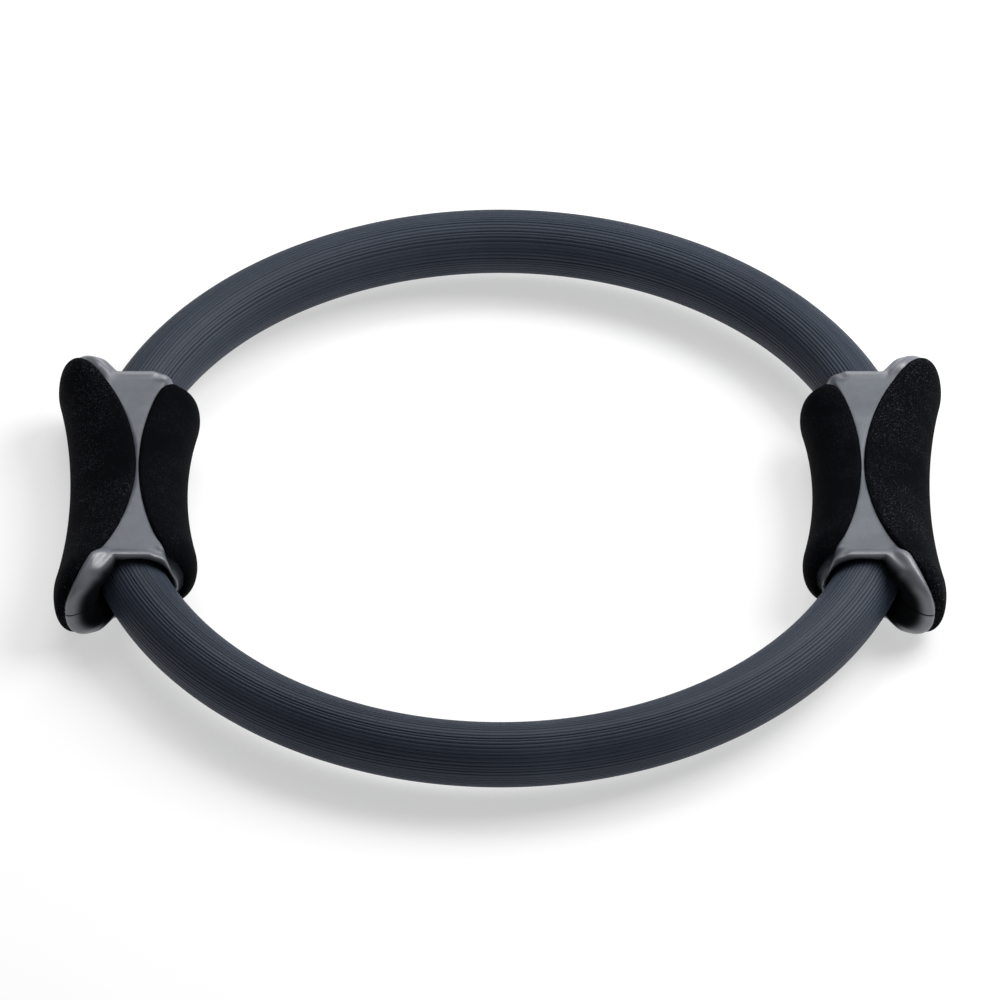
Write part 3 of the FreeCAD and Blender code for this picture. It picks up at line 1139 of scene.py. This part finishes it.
@dataclass
class FoamPad:
    """Crowned foam pad over one side of a handle, with rounded edges and ends."""

    form: HandleForm
    side: PaddedSide
    label: str
    line_count: int = 65
    row_count: int = 141
    top: float = 20.2
    top_blend: float = 0.6
    proud: float = 0.7
    overlap: float = 0.9
    edge_round: float = 2.2
    depth: float = 4.9
    height_depth: float = 0.85
    end_turn: float = 0.94
    collar_gap: float = 0.6
    collar_near: Ramp = Ramp(-8.0, 8.0)
    least_radius: float = 1e-6

    def half_height(self, station: Array) -> Array:
        """Half the pad's height, which grows towards its ends up to its limit.

        Args:
            station: Places along the handle.

        Returns:
            The half height at each station.
        """
        wanted = self.form.flat_height + self.proud + sagitta(self.side.rise_radius, station)
        short = (self.top - wanted) / self.top_blend
        return self.top - self.top_blend * np.logaddexp(0.0, short)

    def sheet(self, depth: float) -> Array:
        """Crowned surface of the pad, or of a layer inside it.

        Each section across the handle is a half ellipse from the pad's upper edge over its
        outermost line to its lower edge. Its width and height taper at the ends.

        Args:
            depth: How far the layer lies inside the pad.

        Returns:
            Lines by rows by place.
        """
        side = self.side
        turns = np.linspace(RIGHT_ANGLE, -RIGHT_ANGLE, self.line_count)[:, None]
        spread = np.linspace(-RIGHT_ANGLE, RIGHT_ANGLE, self.row_count) * self.end_turn
        share = np.sin(spread)[None, :]
        station = side.pad_half_length * share / share.max()
        edge = side.edge(station) - self.overlap
        half_width = (side.face(station) - edge - depth) * side.taper(station, side.width_left)
        full_height = self.half_height(station) - self.height_depth * depth
        half_height = full_height * side.taper(station, side.height_left)
        x = self.form.axis_x + side.direction * (edge + half_width * np.cos(turns))
        z = half_height * np.sin(turns)
        return self.outside_collar(np.stack([x, np.broadcast_to(station, x.shape), z], axis=2))

    def outside_collar(self, points: Array) -> Array:
        """Push points near a mouth's axis out to the radius of its collar.

        Args:
            points: Places on the right handle.

        Returns:
            The same places, none of them inside the collar.
        """
        form = self.form
        y, z = points[..., 1], points[..., 2]
        along, across = form.along_mouth(points[..., 0], np.abs(y))
        radius = np.hypot(across, z)
        least = (form.collar_radius + self.collar_gap) * self.collar_near(along)
        wanted = np.maximum(radius, least)
        grown = wanted / np.maximum(radius, self.least_radius)
        new_x, new_y = form.from_mouth(along, across * grown)
        return np.stack([new_x, new_y * np.sign(y), z * grown], axis=2)

    def crown(self, points: Array, under: Array) -> Array:
        """Outer surface with its border rolled inwards by a quarter circle.

        Args:
            points: Crowned surface.
            under: Layer inside the pad.

        Returns:
            The rolled surface.
        """
        inward = under - points
        inward = inward / np.linalg.norm(inward, axis=2, keepdims=True)
        from_top = run_length(points, 0)
        to_edge = np.minimum(from_top, from_top[-1:] - from_top)
        from_front = run_length(points, 1)
        to_end = np.minimum(from_front, from_front[:, -1:] - from_front)
        short_edge = np.maximum(self.edge_round - to_edge, 0.0)
        short_end = np.maximum(self.edge_round - to_end, 0.0)
        short = np.minimum(np.hypot(short_edge, short_end), self.edge_round)
        return points + inward * sagitta(self.edge_round, short)[..., None]

    def build(self, hand: Hand, finish: Material) -> None:
        """The pad as one closed piece: its crown, its seat and the border between them.

        Args:
            hand: Which handle.
            finish: Its material.
        """
        seat = self.sheet(self.depth)
        crown = self.crown(self.sheet(0.0), seat)
        points = np.concatenate([crown.reshape(-1, 3), seat.reshape(-1, 3)])
        points = points * np.array([hand.value, 1.0, 1.0])
        flip = hand.value * self.side.direction > 0
        under = self.line_count * self.row_count
        faces = grid_faces(self.line_count, self.row_count, False, flip)
        below = grid_faces(self.line_count, self.row_count, False, not flip) + under
        numbers = np.arange(under).reshape(self.line_count, self.row_count)
        sides = (numbers[0], numbers[1:, -1], numbers[-1, -2::-1], numbers[-2:0:-1, 0])
        ring = np.concatenate(sides)
        following = np.roll(ring, -1)
        border = np.stack([ring, ring + under, following + under, following], axis=1)
        border = border[:, ::-1] if flip else border
        name = f"{hand.name.lower()}_{self.label}_cushion"
        piece = make_piece(name, points, [faces, below, border], finish)
        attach(piece, f"{hand.name.lower()}_handle")
        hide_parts(f"{hand.name.lower()}_{self.label}_pad")


# Hoop


@dataclass
class RibbedSleeve:
    """Foam sleeve over one half of the hoop, with fine ribs along it.

    A wave is the height, rate and phase of a sine of the rib's number.
    """

    row: Row
    form: HandleForm
    radius: float = 13.8
    rib_count: int = 58
    rib_depth: float = 0.26
    rib_steps: tuple[float, ...] = (0.0, 0.25, 0.42, 0.5, 0.58, 0.75)
    groove_width: float = 0.13
    arch_share: float = 0.18
    mean_depth: float = 0.72
    depth_waves: tuple[Triple, ...] = ((0.2, 2.399, 0.0), (0.16, 5.13, 1.0))
    mean_tone: float = 0.5
    tone_waves: tuple[Triple, ...] = ((0.3, 1.93, 0.0), (0.2, 4.37, 0.6))
    sway: float = 0.14
    sway_count: int = 13
    length_count: int = 150
    cap_count: int = 9
    bend_reach: float = 100.0

    def varied(self, mean: float, waves: tuple[Triple, ...]) -> Array:
        """A value for each rib: its mean and a sum of sines of the rib's number."""
        ribs = np.arange(self.rib_count)
        return sum((size * np.sin(ribs * rate + phase) for size, rate, phase in waves), mean)

    def profile(self) -> tuple[Array, Array, Array]:
        """Radius, groove share and tone round the tube.

        A rib is a low arch between two narrow grooves. Its depth, its width and its tone vary
        from rib to rib by sums of sines of its number.

        Returns:
            Angles and radii as rows of one array, the groove shares, and the tones.
        """
        phase = np.array(self.rib_steps)
        place = (np.arange(self.rib_count)[:, None] + phase[None, :]).ravel()
        wave = np.exp(-np.square((phase - 0.5) / self.groove_width))
        arch = self.arch_share * np.square(np.abs(np.mod(phase + 0.5, 1.0) - 0.5) * 2.0)
        depth = self.varied(self.mean_depth, self.depth_waves)
        groove = (wave[None, :] * depth[:, None]).ravel()
        tone = np.repeat(self.varied(self.mean_tone, self.tone_waves), len(phase))
        place = place + self.sway * np.sin(FULL_TURN * place * self.sway_count / self.rib_count)
        sunk = self.rib_depth * (groove + np.tile(arch, self.rib_count))
        angle = FULL_TURN * place / self.rib_count
        return np.stack([angle, self.radius - sunk]), np.clip(groove, 0.0, 1.0), tone

    def bent(self, reach: Any, turn: Array, shift: Array) -> tuple[Array, Array]:
        """Places in plan on the ring's arc, or straight on past its ends.

        Args:
            reach: Distance from the ring's centre.
            turn: Angle round the ring.
            shift: Distance straight on along the tube.

        Returns:
            X and Y.
        """
        x = reach * np.cos(turn) + shift * np.sin(turn)
        y = reach * np.sin(turn) - shift * np.cos(turn)
        return x, y * self.row.value

    def build(self, finish: Material) -> None:
        """The sleeve as one tube along the ring's arc, with domed ends inside the mouths.

        Args:
            finish: Its material.
        """
        (angle, radius), groove, tone = self.profile()
        start = self.form.mouth_angle
        turns = np.linspace(math.pi - start, start, self.length_count)
        cap = np.linspace(RIGHT_ANGLE, 0.0, self.cap_count + 1)[1:-1]
        shrink = np.concatenate([np.cos(cap), np.ones(self.length_count), np.cos(cap[::-1])])
        overrun = self.radius * np.sin(cap)
        shift = np.concatenate([-overrun, np.zeros(self.length_count), overrun[::-1]])
        turn = np.pad(turns, len(cap), mode="edge")
        out = (radius * np.cos(angle))[None, :] * shrink[:, None]
        up = (radius * np.sin(angle))[None, :] * shrink[:, None]
        x, y = self.bent(self.form.ring_radius + out, turn[:, None], shift[:, None])
        tips = np.array([-self.radius, self.radius])
        tip_x, tip_y = self.bent(self.form.ring_radius, turns[[0, -1]], tips)
        poles = np.stack([tip_x, tip_y, np.zeros(2)], axis=1)
        whole = np.concatenate([np.stack([x, y, up], axis=2).reshape(-1, 3), poles])
        rows, columns = x.shape
        flip = self.row is Row.FRONT
        faces = grid_faces(rows, columns, True, flip)
        first = np.arange(columns)
        following = np.roll(first, -1)
        last = (rows - 1) * columns
        pole = np.full(columns, rows * columns)
        near = np.stack([pole, following, first], axis=1)
        far = np.stack([pole + 1, first + last, following + last], axis=1)
        fans = np.concatenate([near, far])
        fans = fans[:, ::-1] if flip else fans
        values = {
            "groove": np.concatenate([np.tile(groove, rows), np.zeros(2)]),
            "tone": np.concatenate([np.tile(tone, rows), np.full(2, self.mean_tone)]),
        }
        side = self.row.name.lower()
        piece = make_piece(f"{side}_sleeve", whole, [faces, fans], finish, values)
        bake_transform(piece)
        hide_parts(f"{side}_left_sleeve", f"{side}_right_sleeve")


@dataclass
class SpringStrip:
    """Fibreglass strip of one half of the hoop, inside its sleeve and lapped in both handles."""

    row: Row
    form: HandleForm
    thickness: float = 3.0
    height: float = 17.0
    shift: float = 1.55
    lap: float = 22.0
    squareness: float = 0.3
    section_count: int = 32
    least_rows: int = 8
    rows_per_radian: int = 60
    bend_reach: float = 100.0

    @property
    def radius(self) -> float:
        """Radius of the strip's middle line; the two strips lie side by side where they lap."""
        return self.form.ring_radius + self.shift * self.row.value

    def section(self) -> tuple[Array, Array]:
        """Rounded rectangle across the strip: cosine and sine raised to a small power.

        Returns:
            Places across and up.
        """
        turns = np.linspace(0.0, FULL_TURN, self.section_count, endpoint=False)
        cosine = np.cos(turns)
        sine = np.sin(turns)
        out = 0.5 * self.thickness * np.sign(cosine) * np.abs(cosine) ** self.squareness
        up = 0.5 * self.height * np.sign(sine) * np.abs(sine) ** self.squareness
        return out, up

    def length(self, part: str, start: float, end: float, finish: Material) -> bpy.types.Object:
        """A closed length of the strip along the ring's arc.

        Args:
            part: Which length it is.
            start: Angle round the ring where it starts.
            end: Angle where it ends.
            finish: Its material.

        Returns:
            The piece.
        """
        out, up = self.section()
        rows = max(self.least_rows, int(abs(end - start) * self.rows_per_radian))
        turns = np.linspace(start, end, rows)[:, None]
        reach = self.radius + out[None, :]
        x = reach * np.cos(turns)
        y = reach * np.sin(turns) * self.row.value
        points = np.stack([x, y, np.broadcast_to(up, x.shape)], axis=2)
        faces = tube_faces(*x.shape, self.row is Row.BACK)
        side = self.row.name.lower()
        piece = make_piece(f"{side}_strip_{part}", points, faces, finish)
        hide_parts(f"{side}_strip")
        return piece

    def build(self, finish: Material) -> None:
        """The length inside the sleeve, the part of the real strip that bends, and the two lapped
        ends inside the handles.

        Args:
            finish: Its material.
        """
        mouth = self.form.mouth_angle
        lap = math.asin(self.lap / self.radius)
        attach(self.length("right", -lap, mouth, finish), "right_handle")
        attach(self.length("left", math.pi - mouth, math.pi + lap, finish), "left_handle")
        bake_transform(self.length("middle", mouth, math.pi - mouth, finish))


@dataclass
class Fasteners:
    """Screws and rivets of a handle, which keep their shapes and get their metal."""

    hand: Hand

    def build(self, steel: Material, aluminium: Material) -> None:
        """Give the screws and the rivets their finishes.

        Args:
            steel: Finish of the screws.
            aluminium: Finish of the rivets.
        """
        side = self.hand.name.lower()
        for label, finish in (("shell_screws", steel), ("strip_rivets", aluminium)):
            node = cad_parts[f"{side}_{label}"]
            for slot in node.material_slots:
                slot.material = finish
            LOG.info("%s: %d material slots", node.name, len(node.material_slots))


# Studio


@dataclass(frozen=True)
class Lamp:
    """Square soft light that faces the ring; place and size in metres, power in watts."""

    name: str
    place: Triple
    size: float
    power: float

    def build(self) -> None:
        """Hang the light in the scene."""
        data = bpy.data.lights.new(self.name, "AREA")
        data.shape = "SQUARE"
        data.size = self.size
        data.energy = self.power
        light = bpy.data.objects.new(self.name, data)
        light.location = self.place
        light.rotation_euler = Vector(self.place).to_track_quat("Z", "Y").to_euler()
        bpy.context.scene.collection.objects.link(light)


@dataclass
class Studio:
    """White floor, soft light and the camera."""

    floor_height: float = -21.0
    floor_gap: float = 0.05
    floor_half: float = 4.0
    floor_count: int = 9
    lamps: tuple[Lamp, ...] = (
        Lamp("key_light", (1.0, 0.45, 1.1), 1.1, 27.0),
        Lamp("fill_light", (-0.35, 0.6, 1.3), 1.2, 2.0),
        Lamp("back_light", (-0.1, 0.95, 1.35), 1.0, 11.0),
    )
    room_light: float = 0.12
    elevation: float = 41.4
    distance: float = 8.0
    nearest: float = 0.1
    farthest: float = 60.0
    pixels_per_millimetre: float = 2.339
    picture: float = 1000.0
    sensor: float = 36.0
    centre_row: float = 494.0

    def build(self) -> None:
        """Make the floor, the lights, the surroundings and the camera."""
        self.floor()
        self.lights()
        self.camera()

    def floor(self) -> None:
        """Flat floor just under the ring."""
        line = np.linspace(-self.floor_half, self.floor_half, self.floor_count) / METRES
        x, y = np.meshgrid(line, line, indexing="ij")
        points = np.stack([x, y, np.full_like(x, self.floor_height - self.floor_gap)], axis=2)
        faces = grid_faces(self.floor_count, self.floor_count, False, True)
        make_piece("floor", points, [faces], FloorPaper().material())

    def lights(self) -> None:
        """Hang the lamps and set white surroundings."""
        for lamp in self.lamps:
            lamp.build()
        world = bpy.data.worlds.new("white_room")
        world.use_nodes = True
        background = world.node_tree.nodes["Background"]
        background.inputs["Color"].default_value = WHITE
        background.inputs["Strength"].default_value = self.room_light
        bpy.context.scene.world = world
        bpy.context.scene.view_settings.view_transform = "Standard"

    def camera(self) -> None:
        """Camera far off at the photograph's angle, framed by scale."""
        data = bpy.data.cameras.new("camera")
        width = self.picture / self.pixels_per_millimetre * METRES
        data.sensor_width = self.sensor
        data.lens = self.sensor * self.distance / width
        data.clip_start = self.nearest
        data.clip_end = self.farthest
        camera = bpy.data.objects.new("camera", data)
        rise = math.radians(self.elevation)
        back = Vector((0.0, -math.cos(rise), math.sin(rise)))
        up = Vector((0.0, math.sin(rise), math.cos(rise)))
        lower = (self.picture / 2 - self.centre_row) / self.pixels_per_millimetre * METRES
        camera.location = back * self.distance - up * lower
        camera.rotation_euler = back.to_track_quat("Z", "Y").to_euler()
        bpy.context.scene.collection.objects.link(camera)
        bpy.context.scene.camera = camera


STEEL = FastenerMetal(
    "screw_steel", (0.30, 0.30, 0.31, 1.0), (0.20, 0.20, 0.21, 1.0), 0.28, 0.42
)
ALUMINIUM = FastenerMetal(
    "rivet_aluminium", (0.80, 0.81, 0.82, 1.0), (0.68, 0.69, 0.70, 1.0), 0.3, 0.45
)
# Painted shade: a copy of the pad foam with dimmer specks, for the inner pads.
SHADED_INNER_FOAM = PadFoam("pad_foam_inner_painted_shade", speck=(0.030, 0.033, 0.040, 1.0))


def main() -> None:
    """Build the handles, the hoop and the studio."""
    logging.basicConfig(level=logging.INFO, format="%(message)s")
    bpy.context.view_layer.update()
    form = HandleForm()
    plastic = HandlePlastic().material()
    outer_foam = PadFoam().material()
    shaded_inner_foam = SHADED_INNER_FOAM.material()
    core = HandleCore(form)
    surface = core.surface()
    for hand in Hand:
        for half in Half:
            core.build(hand, half, surface, plastic)
        FoamPad(form, form.outer, "outer").build(hand, outer_foam)
        FoamPad(form, form.inner, "inner").build(hand, shaded_inner_foam)
    steel = STEEL.material()
    aluminium = ALUMINIUM.material()
    for hand in Hand:
        Fasteners(hand).build(steel, aluminium)
    skin = SleeveFoam().material()
    strip = Fibreglass().material()
    for row in Row:
        RibbedSleeve(row, form).build(skin)
        SpringStrip(row, form).build(strip)
    Studio().build()


if __name__ == "__main__":
    main()
